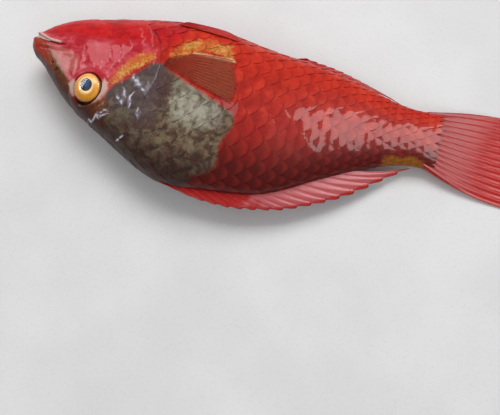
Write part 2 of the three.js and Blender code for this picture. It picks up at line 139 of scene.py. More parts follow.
# The camera looks down at the flank from the side of the back.
VIEW_AZIMUTH = 14.7
VIEW_ELEVATION = 70
VIEW_DISTANCE = 0.462
VIEW_AIM = (159.3, 73.0)
VIEW_AIM_HEIGHT = 0.020
VIEW_ANGLE = 35


def smooth(points):
    """The natural cubic spline through points, as a function of an array."""
    x, y = np.array(points, float).T
    n, h = len(x), np.diff(x)
    rows, right = np.eye(n), np.zeros(n)
    for i in range(1, n - 1):
        rows[i, i - 1:i + 2] = h[i - 1], 2 * (h[i - 1] + h[i]), h[i]
        right[i] = 6 * ((y[i + 1] - y[i]) / h[i] - (y[i] - y[i - 1]) / h[i - 1])
    bend = np.linalg.solve(rows, right)

    def at(t):
        t = np.asarray(t, float)
        i = np.clip(np.searchsorted(x, t) - 1, 0, n - 2)
        a, b = (x[i + 1] - t) / h[i], (t - x[i]) / h[i]
        inside = a * y[i] + b * y[i + 1] + ((a**3 - a) * bend[i] + (b**3 - b) * bend[i + 1]) * h[i] ** 2 / 6
        first = y[0] + ((y[1] - y[0]) / h[0] - h[0] * bend[1] / 6) * (t - x[0])
        last = y[-1] + ((y[-1] - y[-2]) / h[-1] + h[-1] * bend[-2] / 6) * (t - x[-1])
        return np.where(t < x[0], first, np.where(t > x[-1], last, inside))

    return at


back_at, belly_at, waist_at = smooth(BACK_POINTS), smooth(BELLY_POINTS), smooth(WAIST_POINTS)
width_at, mid_line_at = smooth(WIDTH_POINTS), smooth(MID_LINE_POINTS)
mouth_at, gill_at = smooth(MOUTH_POINTS), smooth(GILL_POINTS)
dorsal_edge_at, anal_edge_at = smooth(DORSAL_EDGE_POINTS), smooth(ANAL_EDGE_POINTS)


def clamp(x, low=0.0, high=1.0):
    return np.clip(x, low, high)


def ease(x):
    x = clamp(x)
    return x * x * (3 - 2 * x)


def hump(x):
    return ease(1 - np.abs(x))


def mix(a, b, t):
    return a + (b - a) * t


def power(x, p):
    return np.sign(x) * np.abs(x) ** p


def section(s):
    """The waist, back, belly and half width at s."""
    nose = np.sqrt(1 - (1 - clamp(s / NOSE_ROUNDING)) ** 2)
    waist = waist_at(s)
    back, belly = (waist + (edge(s) - waist) * nose for edge in (back_at, belly_at))
    return waist, back, belly, width_at(s) * nose


def flank_at(s, d):
    """How far the flank stands out from the mid plane at (s, d)."""
    waist, back, belly, width = section(np.asarray(s, float))
    share = np.where(d > waist, (d - waist) / np.maximum(back - waist, 1e-6),
                     (waist - d) / np.maximum(waist - belly, 1e-6))
    return width * (1 - clamp(share) ** SECTION_POWER) ** (1 / SECTION_POWER)


def skin_point(s, angle):
    waist, back, belly, width = section(s)
    up = power(np.cos(angle), 2 / SECTION_POWER)
    out = power(np.sin(angle), 2 / SECTION_POWER)
    d = waist + up * np.where(up > 0, back - waist, waist - belly)
    return np.stack([s + 0 * d, d, width * out], -1)


def skin_normal(s, angle):
    small = 0.02
    along = skin_point(s + 0.2, angle) - skin_point(np.maximum(0.01, s - 0.2), angle)
    around = skin_point(s, angle + small) - skin_point(s, angle - small)
    normal = -np.cross(along, around)
    return normal / np.maximum(np.linalg.norm(normal, axis=-1, keepdims=True), 1e-9)


def flank_normal(s, d, side=1):
    """The direction out of the flank at (s, d), in fish space."""
    small = 0.5
    slope_s = (flank_at(s + small, d) - flank_at(s - small, d)) / (2 * small)
    slope_d = (flank_at(s, d + small) - flank_at(s, d - small)) / (2 * small)
    normal = np.array([-slope_s, -slope_d, 1.0])
    normal /= np.linalg.norm(normal)
    return normal * [1, 1, side]


# Where fish space lies in the frame, read from the solids.
SHIFT_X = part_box("tail_stalk")[0][0] - (STALK_START + GAP) / 1000
SHIFT_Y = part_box("trunk")[0][1] + float(back_at(np.linspace(90, 140, 400)).max()) / 1000
FLOOR = 0.0


def place(points):
    """Points of fish space in the frame, in metres, and none below the floor."""
    points = np.asarray(points, float)
    x = points[..., 0] / 1000 + SHIFT_X
    y = -points[..., 1] / 1000 + SHIFT_Y
    z = (points[..., 2] + mid_line_at(points[..., 0])) / 1000
    return np.stack([x, y, np.maximum(z, FLOOR)], -1)


# Markings, and patches of painted reflection and sheen: each is a closed outline on the flank as (s, d)
# points, and a vertex knows how far inside it is.
SADDLE = [
    (57, 41), (59.6, 36.1), (60.5, 30.8), (63.7, 25.7), (69.5, 21.4), (73.2, 18.1), (76.6, 14), (82.3, 7.3),
    (88, 5.9), (93.7, 9.2), (102.7, 13.5), (111.1, 16.4), (121.3, 20.2), (127.9, 22.3), (136.3, 25.4),
    (139, 31), (138.4, 35.9), (135.7, 39.8), (134.4, 46.2), (134.8, 53.3), (134.7, 58.7), (130, 63.8),
    (123.2, 66.6), (118, 76), (90, 76), (60, 62), (44, 52), (50, 45),
]
SNOUT_BAND = [
    (-6, 20), (-6, -3), (2, 0.2), (8, 2.2), (13.6, 3.6), (16.8, 7), (20, 9.6), (24.2, 14.4), (28.4, 19.4),
    (31.8, 23.6), (34.8, 27), (36.5, 31.5), (39.5, 34.4), (43, 36.4), (50, 37.8), (56, 36.6), (61, 34),
    (70, 44), (60, 60), (30, 42),
]
LOWER_PALE = [(-4, 1), (-4, -9), (2, -6), (7, -2.5), (14, 1), (22, 2.6), (22, 3.6), (12, 2.6), (5, 0.5)]
THROAT = [
    (4, -4), (12, -1.5), (30, -3), (60, -3), (84, -6), (96, -16), (96, -40), (50, -40), (10, -20), (2, -10),
]
# Where the flank of the snout gets a painted reflection of the sky, pale pink.
CHEEK_REFLECTION = [
    (13.2, 4.9), (27.4, 7), (34.1, 9.6), (37.1, 13.4), (37.9, 18.3), (36.2, 20.8), (31, 20.7), (26.4, 19.9),
    (21.2, 14.1),
]
# The wedge before the eye is a painted reflection in a wet groove; the patch behind the eye is pale skin.
EYE_WEDGE_REFLECTION = [(34.5, 28), (37, 25.5), (40.5, 26.5), (40, 31), (40, 34), (37.5, 32)]
EYE_WHITE = [(53, 38), (58.5, 35), (60.5, 30), (60, 25), (57, 22.5), (56, 26), (56.5, 31), (54, 35)]
YELLOWS = [
    [(60.2, 24.7), (61, 19.7), (64, 14.1), (68.1, 7.1), (72.8, 2.3), (80.1, 0.5), (84.1, 3.2), (82.3, 7.3),
     (76.4, 13.5), (71.7, 18.4), (66.8, 22.7), (62.4, 26.7)],
    [(89.9, -3.1), (93.9, -10.2), (99.8, -16.4), (110.1, -18.9), (116.1, -20), (124, -19.8), (127.3, -13.3),
     (128.9, -7.6), (123, -6.5), (117.5, -9.6), (109.9, -9.1), (104.5, -6.4), (98.4, -0.7), (94.7, 2.3),
     (90.9, 5.1)],
]
YELLOW_EDGE = [(103, -5.6), (116, -6), (130, -7), (128, -9.5), (116, -8), (104, -7.4)]
# A paler patch of the saddle: a painted reflection of the sky.
GREEN_GREY_REFLECTION = [(101, 14), (112, 18), (122, 21), (127, 27), (124, 36), (114, 41), (104, 38), (100, 28)]
DARK_FRONT = [(87, 9), (97, 12), (98, 20), (97, 31), (92, 33), (88, 27), (86, 18)]
TAIL_SADDLE = [
    (227, 32), (228.5, 24), (229, 19.5), (232, 17), (238, 15.4), (244, 13.6), (249, 13.4), (254, 16),
    (252, 32),
]

# Paler patches of the cheek: painted sheen of the wet skin.
CHEEK_SHEENS = [
    [(38.5, 1), (45, 0), (50, -1.5), (55, 5), (56.5, 11), (53, 16), (47, 14.5), (41, 8)],
    [(53.5, -0.5), (58, -1.5), (62, 4), (61.5, 11), (59.5, 12), (57, 5)],
    [(60, -2), (67, -1), (66, 3), (63, 6)],
]

# What the skin's and the scales' materials know each marking and painted patch by.
MARKINGS = {
    "saddle": [SADDLE], "snout_band": [SNOUT_BAND], "throat": [THROAT], "cheek_shine": [CHEEK_REFLECTION],
    "eye_white": [EYE_WHITE, EYE_WEDGE_REFLECTION], "shine": CHEEK_SHEENS, "yellow": YELLOWS, "yellow_edge": [YELLOW_EDGE],
    "lower_pale": [LOWER_PALE], "green_grey": [GREEN_GREY_REFLECTION], "dark_front": [DARK_FRONT],
    "tail_saddle": [TAIL_SADDLE],
}

# Folds of wet skin: the two ends and the middle of each as (s, d) points, then its breadth and its height.
FOLDS = [
    ((73.5, 17.8), (76.9, 21.2), (80.7, 24.8), 1.5, 0.5),
    ((80.7, 24.8), (84.4, 26.8), (86.3, 29.6), 1.0, 0.5),
    ((83.9, 20), (85.3, 23), (84.7, 26.4), 0.9, 0.4),
    ((83.2, 36.9), (82.4, 40.1), (84.4, 43.7), 0.8, 0.45),
    ((87.2, 45.5), (86.7, 47.3), (86.9, 49.4), 0.7, 0.35),
    ((76.8, 51.6), (76.3, 54.1), (73.2, 55.6), 0.7, 0.4),
    ((68.2, 32.4), (70.7, 34.6), (73, 36.6), 1.4, 0.45),
    ((51.9, 46.2), (57.5, 44.2), (65.4, 42.8), 0.8, 0.55),
    ((59.4, 42.1), (61.9, 40.8), (64.9, 41), 0.6, 0.4),
    ((51, -1.6), (55, 5.2), (58.8, 11.9), 0.7, 0.55),
    ((58.8, 11.9), (59.6, 15), (57.9, 18.9), 0.7, 0.5),
    ((42.3, -2), (46.2, 2.2), (46.7, 6.6), 0.6, 0.3),
    ((37.1, 0.9), (37.6, 6.3), (40.5, 10.4), 0.6, 0.3),
    ((59.7, -3.4), (63.8, 3.5), (63, 9.9), 0.7, 0.35),
    ((63.5, -6.3), (67.2, -1.1), (67.2, 4.5), 0.6, 0.3),
    ((77, 28), (76, 32.9), (76.8, 37.3), 0.8, 0.4),
    ((74, -2), (72, -9), (67, -16), 0.8, 0.25),
    ((79, -3), (77, -10), (73, -17), 0.8, 0.25),
    ((84, 9), (82.5, 4), (82, -3), 0.7, 0.35),
    ((70, 26), (72.5, 29), (73.5, 33), 0.7, 0.3),
]


def inside(s, d, outline):
    """How far each point lies inside a closed outline, in millimetres, and less than 0 outside it."""
    corners = np.array(outline, float)
    near = np.full(s.shape, 1e9)
    odd = np.zeros(s.shape, bool)
    for (ax, ay), (bx, by) in zip(corners, np.roll(corners, -1, axis=0)):
        length = (bx - ax) ** 2 + (by - ay) ** 2
        t = clamp(((s - ax) * (bx - ax) + (d - ay) * (by - ay)) / length)
        near = np.minimum(near, (s - ax - t * (bx - ax)) ** 2 + (d - ay - t * (by - ay)) ** 2)
        if ay != by:
            crosses = (ay > d) != (by > d)
            odd ^= crosses & (s < (bx - ax) * (d - ay) / (by - ay) + ax)
    return np.sqrt(near) * np.where(odd, 1, -1)


def fold_field(s, d):
    """The height of the folds at each point, and how near the nearest one is, from 0 to 1."""
    height, nearness = np.zeros(s.shape), np.zeros(s.shape)
    s, d = s + 0.55 * ripples(s, d, 31, 5), d + 0.55 * ripples(s, d, 32, 5)
    for first, middle, last, breadth, rise in FOLDS:
        best = np.full(s.shape, 1e9)
        for t in np.linspace(0, 1, 22):
            ps = (1 - t) ** 2 * first[0] + 2 * t * (1 - t) * middle[0] + t * t * last[0]
            pd = (1 - t) ** 2 * first[1] + 2 * t * (1 - t) * middle[1] + t * t * last[1]
            thin = 1.4 * breadth * (0.35 + 0.65 * math.sin(math.pi * t))
            best = np.minimum(best, np.hypot(s - ps, d - pd) / thin)
        height = np.maximum(height, rise * ease(1.6 - best))
        nearness = np.maximum(nearness, ease(1.35 - best))
    return height, nearness


def ripples(s, d, seed, size, count=14):
    """Soft waves over the skin in many directions, between about -1 and 1."""
    draw = np.random.default_rng(seed)
    total = np.zeros(np.shape(s))
    for _ in range(count):
        turn, phase = draw.uniform(0, 2 * math.pi, 2)
        length = size * draw.uniform(0.6, 1.6)
        total += np.sin((s * math.cos(turn) + d * math.sin(turn)) * 2 * math.pi / length + phase)
    return total / math.sqrt(count)


def undulation(s, d):
    """The slight unevenness of soft flesh, stronger under the saddle patch."""
    soft = ease((inside(s, d, SADDLE) + 2) / 4)
    return mix(0.02, 0.06, soft) * ripples(s, d, 21, 7.5) + 0.1 * ripples(s, d, 22, 30)


def bare_beak(s):
    return BEAK_HEIGHT * clamp(1 - s / BEAK_LENGTH) ** 0.7


def head_lift(s, d):
    """The lift of the head's skin off the smooth body."""
    above = d - mouth_at(s)
    from_lip = np.where(above > 0, above - 2.2, above + 2 + (BEAK_HEIGHT - 1) * clamp(1 - s / BEAK_LENGTH))
    lift = LIP_RISE * hump(from_lip / 3.2) * ease((MOUTH_LENGTH + 5 - s) / 10) * ease(s / 3)
    lift += -0.12 * hump((np.hypot(s + 6, above + 1) - 18) / 1.8) * ease((MOUTH_LENGTH - s) / 6)
    from_eye = np.hypot(s - EYE_PLACE[0], d - EYE_PLACE[1])
    lift += 0.9 * hump((from_eye - EYE_RADIUS - 1.6) / 2.4)
    behind = gill_at(clamp(d, -40, 80)) - s
    sides = ease((44 - d) / 16)
    throat = ease((d + 26) / 20)
    lift += mix(0.35, GILL_COVER_RISE, throat) * ease((30 - behind) / 24) * sides * ease(behind / 0.5)
    lift += -0.25 * hump((behind - 31) / 3.5) * sides * ease((d + 30) / 8)
    return lift


def head_detail(s, d):
    """Finer forms of the head: folds, wrinkles, nostrils, the eye's socket and the open mouth."""
    height, nearness = fold_field(s, d)
    front = ease((88 - s) / 6)
    lift = height * front
    cheek = ease((62 - s) / 10) * ease((s - 26) / 8) * ease((24 - d) / 8) * ease((d + 14) / 8)
    wave = np.sin((s + 1.6 * np.sin(d / 5.0) + ripples(s, d, 3, 14)) * 2 * math.pi / 5.2)
    lift += 0.1 * cheek * wave
    lift += 0.04 * front * ripples(s, d, 5, 5.0) + 0.12 * front * ripples(s, d, 8, 16.0)
    for ns, nd, radius in NOSTRILS:
        away = np.hypot(s - ns, d - nd) / radius
        lift += 0.35 * hump((away - 1.5) / 0.8) - 1.3 * ease((1.05 - away) / 0.5)
    from_eye = np.hypot(s - EYE_PLACE[0], d - EYE_PLACE[1])
    lift -= 4.5 * ease((EYE_RADIUS + 0.35 - from_eye) / 0.9)
    lift += 0.35 * hump((from_eye - EYE_RADIUS - 0.7) / 0.9)
    above = d - mouth_at(s)
    slit = 0.45 * ease((MOUTH_LENGTH - s) / 5)
    low, high = -slit - bare_beak(s), slit * mix(1, 0.5, ease((14 - s) / 8))
    gape = ease((above - low) / 0.5 + 0.5) * ease((high - above) / 0.5 + 0.5) * ease((MOUTH_LENGTH - s) / 2)
    lift -= mix(1.4, 1.9, ease((14 - s) / 12)) * gape
    return lift, nearness * front, gape


def add_mesh(name, points, faces, marks=None, material=None, smooth_faces=True):
    """A mesh object from points in the frame, with one float attribute for each marking."""
    mesh = bpy.data.meshes.new(name)
    faces = np.asarray(faces, np.int32)
    points = np.asarray(points, np.float32).reshape(-1, 3)
    mesh.vertices.add(len(points))
    mesh.vertices.foreach_set("co", points.ravel())
    corners = faces.shape[1]
    mesh.loops.add(faces.size)
    mesh.loops.foreach_set("vertex_index", faces.ravel())
    mesh.polygons.add(len(faces))
    mesh.polygons.foreach_set("loop_start", np.arange(len(faces), dtype=np.int32) * corners)
    mesh.polygons.foreach_set("use_smooth", np.full(len(faces), smooth_faces))
    mesh.update(calc_edges=True)
    mesh.validate()
    for key, values in (marks or {}).items():
        layer = mesh.attributes.new(key, "FLOAT", "POINT")
        layer.data.foreach_set("value", np.asarray(values, np.float32).ravel())
    made = bpy.data.objects.new(name, mesh)
    bpy.context.scene.collection.objects.link(made)
    if material:
        mesh.materials.append(material)
    return made


def grid_faces(rows, columns, closed=False):
    """The quads of a grid of points, row by row. A closed grid joins its last column to its first."""
    i = np.arange(rows - 1)[:, None]
    j = np.arange(columns if closed else columns - 1)[None, :]
    k = (j + 1) % columns
    quad = np.stack([i * columns + j, i * columns + k, (i + 1) * columns + k, (i + 1) * columns + j], -1)
    return quad.reshape(-1, 4)


def grid_rim(rows, columns):
    """The points round the edge of a grid, in order."""
    size = rows * columns
    return np.concatenate([
        np.arange(columns), (np.arange(rows - 2) + 2) * columns - 1,
        np.arange(size - 1, size - columns - 1, -1), np.arange(rows - 2, 0, -1) * columns])


def sheet_faces(rows, columns):
    """The quads of a thin sheet: a grid, a second grid behind it, and the wall round their edge."""
    size = rows * columns
    faces, rim = grid_faces(rows, columns), grid_rim(rows, columns)
    after = np.roll(rim, -1)
    wall = np.stack([rim, rim + size, after + size, after], -1)
    return np.concatenate([faces, faces[:, ::-1] + size, wall])


def ring_cap(start, around):
    """The quads that close a ring of points straight across."""
    j = np.arange(around // 2 - 1)
    return start + np.stack([j, j + 1, around - 2 - j, around - 1 - j], -1)


def flank_marks(s, d):
    """What every point of skin and scale knows of the markings."""
    _, back, belly, _ = section(np.maximum(s, 0.3))
    marks = {"along": s, "level": clamp((d - belly) / (back - belly)), "height": d,
             "behind_gill": s - gill_at(clamp(d, -40, 80))}
    for name, outlines in MARKINGS.items():
        marks[name] = np.maximum.reduce([inside(s, d, outline) for outline in outlines])
    return marks


class Value:
    """A number in a material that can be added, multiplied and compared like any other."""

    def __init__(self, paint, socket):
        self.paint, self.socket = paint, socket

    def _with(self, operation, *others, reflected=False):
        parts = [*others, self] if reflected else [self, *others]
        return self.paint.number(operation, *parts)

    def __add__(self, other):
        return self._with("ADD", other)

    def __sub__(self, other):
        return self._with("SUBTRACT", other)

    def __rsub__(self, other):
        return self._with("SUBTRACT", other, reflected=True)

    def __mul__(self, other):
        return self._with("MULTIPLY", other)

    __radd__, __rmul__ = __add__, __mul__

    def within(self, low, high):
        """0 below low, 1 above high and a smooth step between."""
        return self.paint.node("ShaderNodeMapRange", {"interpolation_type": "SMOOTHSTEP"},
                               {"Value": self, "From Min": low, "From Max": high})["Result"]

    def sine(self):
        return self._with("SINE")


class Paint:
    """A material in the making."""

    def __init__(self, name):
        self.material = bpy.data.materials.new(name)
        self.material.use_nodes = True
        self.tree = self.material.node_tree
        self.tree.nodes.clear()
        self.output = self.tree.nodes.new("ShaderNodeOutputMaterial")

    def node(self, kind, settings=None, values=None):
        made = self.tree.nodes.new(kind)
        for key, setting in (settings or {}).items():
            if key == "ramp":
                ramp = made.color_ramp
                while len(ramp.elements) < len(setting):
                    ramp.elements.new(0.5)
                for element, (position, shade) in zip(ramp.elements, setting):
                    element.position, element.color = position, (*shade, 1)
            else:
                setattr(made, key, setting)
        for key, value in (values or {}).items():
            self.feed(made.inputs[key], value)
        return {out.name: Value(self, out) for out in made.outputs if out.enabled}

    def feed(self, socket, value):
        if isinstance(value, Value):
            self.tree.links.new(value.socket, socket)
        elif isinstance(value, tuple) and len(value) == 3 and socket.type == "RGBA":
            socket.default_value = (*value, 1)
        else:
            socket.default_value = value

    def number(self, operation, *parts):
        return self.node("ShaderNodeMath", {"operation": operation}, dict(enumerate(parts)))["Value"]

    def blend(self, factor, first, second, kind="MIX"):
        """The colour first, turned into second by factor."""
        made = self.tree.nodes.new("ShaderNodeMix")
        made.data_type, made.blend_type, made.clamp_factor = "RGBA", kind, True
        for index, value in ((0, factor), (6, first), (7, second)):
            self.feed(made.inputs[index], value)
        return Value(self, made.outputs[2])

    def tint(self, colour, *layers):
        """The colour under thin layers in turn, each given as how much it covers and its own colour."""
        for cover, over in layers:
            colour = self.blend(cover, colour, over)
        return colour

    def attribute(self, name):
        return self.node("ShaderNodeAttribute", {"attribute_name": name})["Fac"]

    def millimetres(self, scale=(1, 1, 1)):
        spot = self.node("ShaderNodeTexCoord")["Object"]
        factor = tuple(1000 * part for part in scale)
        return self.node("ShaderNodeVectorMath", {"operation": "MULTIPLY"}, {0: spot, 1: factor})["Vector"]

    def noise(self, spot, size, detail=3.0, roughness=0.55, distortion=0.0):
        """Clouds whose lumps are about size millimetres across, around 0.5."""
        return self.node("ShaderNodeTexNoise", None, {
            "Vector": spot, "Scale": 1 / size, "Detail": detail,
            "Roughness": roughness, "Distortion": distortion})["Fac"]

    def bump(self, height, strength, distance, normal=None):
        values = {"Height": height, "Strength": strength, "Distance": distance}
        if normal:
            values["Normal"] = normal
        return self.node("ShaderNodeBump", None, values)["Normal"]

    def finish(self, **inputs):
        shader = self.tree.nodes.new("ShaderNodeBsdfPrincipled")
        for key, value in inputs.items():
            self.feed(shader.inputs[key.replace("_", " ")], value)
        self.tree.links.new(shader.outputs[0], self.output.inputs["Surface"])
        return self.material


def shade(red, green, blue):
    """A colour as it looks on a screen, from 0 to 255, as the shader takes it."""
    parts = [part / 255 for part in (red, green, blue)]
    return tuple(part / 12.92 if part <= 0.04045 else ((part + 0.055) / 1.055) ** 2.4 for part in parts)


class Clouds:
    """Noise of several sizes, in millimetres, that the fish's colours share."""

    def __init__(self, paint, spot):
        self.broad, self.wide = paint.noise(spot, 22, 3), paint.noise(spot, 8, 4)
        self.fine = paint.noise(spot, 1.6, 4, 0.6)
        self.streak = paint.noise(paint.millimetres((0.3, 1, 1)), 2.4, 3)
        self.worm = paint.noise(spot, 5, 3, 0.55, 0.45)
        self.ragged = (self.wide - 0.5) * 7 + (self.fine - 0.5) * 5


def body_colour(paint, clouds):
    """Mottled red, darker towards the back."""
    level, wide, fine = paint.attribute("level"), clouds.wide, clouds.fine
    upward = (level + (clouds.broad - 0.5) * 0.3).within(0.05, 0.6)
    return paint.tint(
        shade(200, 44, 24), (upward, shade(168, 30, 22)),
        (wide.within(0.48, 0.66) * 0.5, shade(218, 62, 38)),
        ((1 - wide).within(0.5, 0.68) * 0.4, shade(138, 18, 16)),
        (fine.within(0.5, 0.75) * 0.2, shade(222, 80, 56)),
        ((level + (wide - 0.5) * 0.3).within(0.55, 0.93), shade(84, 18, 16)))


def cheek_colour(paint, clouds):
    """Crimson, with pale pink patches of painted sheen."""
    streak, fine = clouds.streak, clouds.fine
    # The pale pink patches are painted sheen of the wet skin.
    shine = paint.attribute("shine") + (streak - 0.5) * 5 + (fine - 0.5) * 2
    return paint.tint(
        shade(182, 32, 44), (clouds.wide.within(0.4, 0.62), shade(206, 74, 84)),
        (streak.within(0.5, 0.6) * 0.4, shade(150, 20, 32)),
        (shine.within(-0.3, 0.3) * 0.7, shade(212, 104, 110)),
        (fine.within(0.6, 0.75) * 0.3, shade(224, 140, 136)))


def throat_colour(paint, clouds):
    """Crimson."""
    return paint.tint(
        shade(200, 24, 26), (clouds.wide.within(0.4, 0.62), shade(176, 16, 24)),
        (clouds.fine.within(0.5, 0.7) * 0.4, shade(222, 60, 50)),
        (clouds.broad.within(0.5, 0.62) * 0.5, shade(150, 18, 28)))


def yellow_colour(paint, clouds):
    """Ochre, with orange and brown in it."""
    return paint.tint(
        shade(202, 130, 34), (clouds.fine.within(0.35, 0.65), shade(220, 172, 96)),
        (clouds.wide.within(0.42, 0.6) * 0.75, shade(196, 78, 26)),
        ((1 - clouds.fine).within(0.5, 0.65) * 0.4, shade(150, 84, 30)))


def saddle_colour(paint, clouds, marked):
    """Mottled grey-brown, with a paler patch of painted sky reflection behind the pectoral fin, and dark
    along the back.
    """
    wide, fine, worm = clouds.wide, clouds.fine, clouds.worm
    along, level = paint.attribute("along"), paint.attribute("level")
    grey = paint.tint(
        shade(72, 54, 42), (worm.within(0.38, 0.62), shade(118, 104, 80)),
        (wide.within(0.48, 0.66) * 0.5, shade(84, 58, 50)))
    pale = paint.tint(shade(104, 96, 76), (worm.within(0.38, 0.6), shade(156, 154, 134)))
    # The paler patch is a painted reflection of the sky.
    grey = marked(grey, "green_grey", 1.1, -7, 5, 0.85, pale)
    grey = marked(grey, "dark_front", 0.6, -3, 3, 0.8, shade(66, 40, 34))
    front = (96 - along + clouds.ragged * 1.6).within(-4, 9) * (1 - level).within(0.08, 0.3)
    return paint.tint(
        grey, (fine.within(0.56, 0.72) * 0.3, shade(168, 162, 138)),
        ((1 - fine).within(0.56, 0.72) * 0.3, shade(58, 44, 34)),
        (front * 0.6, shade(82, 68, 74)),
        ((level + (wide - 0.5) * 0.2).within(0.78, 0.98) * 0.85, shade(46, 28, 28)))


def snout_colour(paint, clouds):
    """Brick red at the tip, brown towards the eye, and dark at the rim."""
    along, level = paint.attribute("along"), paint.attribute("level")
    return paint.tint(
        shade(168, 40, 26), ((along + clouds.ragged).within(8, 26), shade(98, 52, 18)),
        ((clouds.fine + clouds.wide * 0.4).within(0.64, 0.8) * 0.5, shade(150, 88, 48)),
        ((level + clouds.ragged * 0.015).within(0.84, 0.99), shade(60, 26, 22)))


def flank_colour(paint, clouds):
    """The colours of the fish, with painted reflections and sheen, the same for skin and scales."""
    mark, ragged = paint.attribute, clouds.ragged
    along = mark("along")

    def marked(colour, name, rough, low, high, strength, new):
        """The colour new over the marking called name. The more rough it is, the more ragged is its edge."""
        return paint.blend((mark(name) + ragged * rough).within(low, high) * strength, colour, new)

    face = (mark("height") * -0.35 - along + 82 + ragged * 0.8).within(-6, 8)
    colour = paint.blend(face, body_colour(paint, clouds), cheek_colour(paint, clouds))
    colour = marked(colour, "throat", 0.6, -2, 4, 1, throat_colour(paint, clouds))
    patchy = mark("yellow") + ragged * 0.9 + (clouds.streak - 0.5) * 8
    colour = paint.blend(patchy.within(-1.2, 3) * 0.9, colour, yellow_colour(paint, clouds))
    colour = marked(colour, "yellow_edge", 0.2, -0.8, 0.8, 0.8, shade(232, 196, 140))
    colour = marked(colour, "saddle", 0.35, -1.2, 1.8, 1, saddle_colour(paint, clouds, marked))
    before_eye = (68 - along).within(0, 10)
    colour = marked(colour, "snout_band", 0.3, -1.4, 1.4, before_eye, snout_colour(paint, clouds))
    # A painted reflection of the sky, pale pink, on the flank of the snout.
    colour = marked(colour, "cheek_shine", 0.3, -0.8, 0.8, 0.45, shade(190, 120, 108))
    # Pale skin behind the eye, and a painted reflection in the groove before it.
    colour = marked(colour, "eye_white", 0.35, -1, 1.2, 0.75, shade(206, 190, 170))
    colour = marked(colour, "lower_pale", 0.08, -0.4, 0.5, 0.85, shade(226, 186, 178))
    return marked(colour, "tail_saddle", 0.7, -1, 1.6, 0.85, shade(150, 96, 22))


# A thin film of water over soft flesh.
WET = {"Coat_Roughness": 0.04, "Coat_IOR": 1.2, "Specular_IOR_Level": 0.08, "Subsurface_Scale": 0.3}


def wetness(paint):
    """How glossy the water on the skin is: less where the surface turns away."""
    facing = paint.node("ShaderNodeLayerWeight", None, {"Blend": 0.5})["Facing"]
    return 1 - facing.within(0.45, 0.85) * 0.85


def skin_material():
    """Wet skin of the head, and what shows between the scales."""
    paint = Paint("wet_skin")
    clouds = Clouds(paint, paint.millimetres())
    colour, wide, fine = flank_colour(paint, clouds), clouds.wide, clouds.fine
    fold, gape = paint.attribute("fold"), paint.attribute("gape")
    cool = (paint.attribute("saddle") + (wide - 0.5) * 6).within(-3, 3)
    # The folds are real ridges. Over them goes a painted sheen, pink on the cheek and lilac grey on the
    # saddle, and a painted glint on their crests.
    wet = paint.blend(cool, shade(214, 110, 116), shade(150, 142, 158))
    glint = paint.blend(cool, shade(232, 150, 156), shade(214, 214, 226))
    # Painted shade: a dark line along the gill cover's crease, and dark red inside the open mouth.
    behind = paint.attribute("behind_gill")
    crease_shade = behind.within(-0.9, 0.1) * (2.6 - behind).within(0, 1.2)
    colour = paint.tint(
        colour, (fold * fine.within(0.2, 0.55) * (0.3 + cool * 0.4), wet),
        (fold.within(0.7, 1) * fine.within(0.4, 0.56) * (0.25 + cool * 0.6), glint),
        (crease_shade * (0.55 - cool * 0.35), shade(70, 10, 14)), (gape, shade(84, 6, 12)))
    normal = paint.bump(wide, 0.5, 0.0006)
    normal = paint.bump(fine, 0.3, 0.0002, normal)
    return paint.finish(
        Base_Color=colour, Roughness=0.42 + (fine - 0.5) * 0.3, Normal=normal, Coat_Weight=wetness(paint),
        Subsurface_Weight=0.1, Subsurface_Radius=(0.003, 0.0008, 0.0006), **WET)


def scale_material():
    """Large wet scales, with a thin line of painted shade along the free edge, painted shade at the root and
    a painted highlight in the middle.
    """
    paint = Paint("wet_scales")
    clouds = Clouds(paint, paint.millimetres())
    colour, wide, fine = flank_colour(paint, clouds), clouds.wide, clouds.fine
    run, side = paint.attribute("scale_run"), paint.attribute("scale_side")
    own = paint.attribute("scale_own")
    red = 1 - (paint.attribute("saddle") + (wide - 0.5) * 6).within(-1.5, 2.5) * 0.75
    # Painted light on each scale: a highlight in its middle; shade along its free edge, for the shadow it
    # casts on the scale under it; and shade at its root, under the edge of the scale in front.
    middle = (1 - side * side) * run.within(0.5, 0.78) * (1 - run.within(0.8, 0.95))
    edge, root = run.within(0.88, 0.985), (1 - run).within(0.35, 0.62)
    colour = paint.tint(
        colour, (own.within(0, 1) * 0.1 * red, shade(120, 18, 18)), (middle * 0.1 * red, shade(226, 70, 40)),
        (edge * 0.6 * (wide * 1.2) * red, shade(82, 14, 14)), (root * 0.12 * red, shade(104, 16, 16)))
    rays = (side * 40).sine()
    normal = paint.bump(rays * 0.5 + 0.5, 0.1, 0.00005)
    normal = paint.bump(wide, 0.4, 0.0006, normal)
    normal = paint.bump(fine, 0.3, 0.00018, normal)
    return paint.finish(
        Base_Color=colour, Roughness=0.42 + (fine - 0.5) * 0.3, Normal=normal, Coat_Weight=wetness(paint),
        Subsurface_Weight=0.06, Subsurface_Radius=(0.002, 0.0006, 0.0005), **WET)


